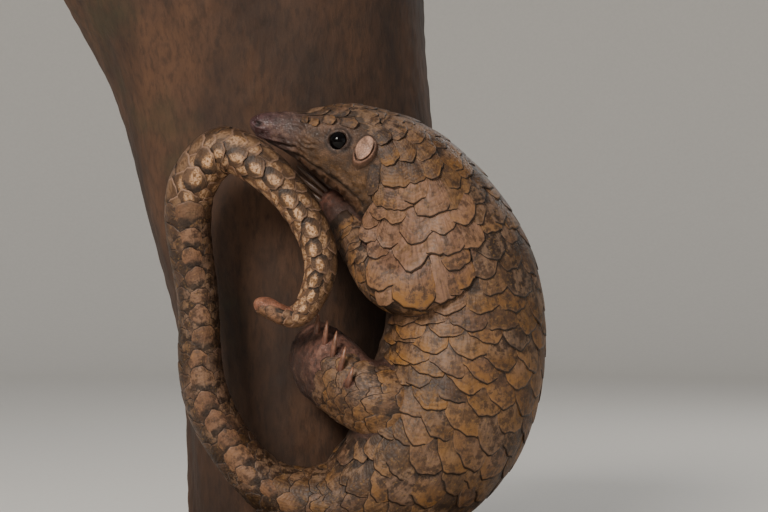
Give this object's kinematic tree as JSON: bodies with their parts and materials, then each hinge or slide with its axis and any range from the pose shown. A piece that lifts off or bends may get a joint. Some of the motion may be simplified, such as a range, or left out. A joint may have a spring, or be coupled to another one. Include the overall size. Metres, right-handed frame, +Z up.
{
  "type": "pangolin",
  "caption": "Life-size still model of a Sunda pangolin clinging to a cut length of trunk, tail curled up in front, on a plain display stand.",
  "frame": {"origin": "middle of the underside of the display base", "axes": "+X towards the animal's back, to the right of the picture; -Y towards the camera and the animal's left side; +Z up along the trunk"},
  "size_m": [0.3322, 0.29, 0.398],
  "materials": {
    "scales": "satin horny scales, olive brown",
    "skin": "matt wrinkled skin, pinkish brown",
    "eyes": "wet black",
    "bark": "rough bark, sawn ends",
    "base": "dark stained, satin",
    "rods": "brushed"
  },
  "bodies": {
    "root": {"head": "scales", "ear_left": "skin", "ear_right": "skin", "eye_left": "eyes", "eye_right": "eyes", "neck": "scales", "chest": "scales", "loin": "scales", "rump": "scales", "tail_1": "scales", "tail_2": "scales", "tail_3": "scales", "tail_4": "scales", "tail_5": "scales", "tail_6": "scales", "tail_7": "scales", "foreleg_left": "scales", "forefoot_left": "skin", "foreleg_right": "scales", "forefoot_right": "skin", "hindleg_left": "scales", "hindfoot_left": "skin", "hindleg_right": "scales", "hindfoot_right": "skin", "perch_trunk": "bark", "stand_base": "base", "stand_rod_1": "rods", "stand_rod_2": "rods"}
  },
  "joints": []
}
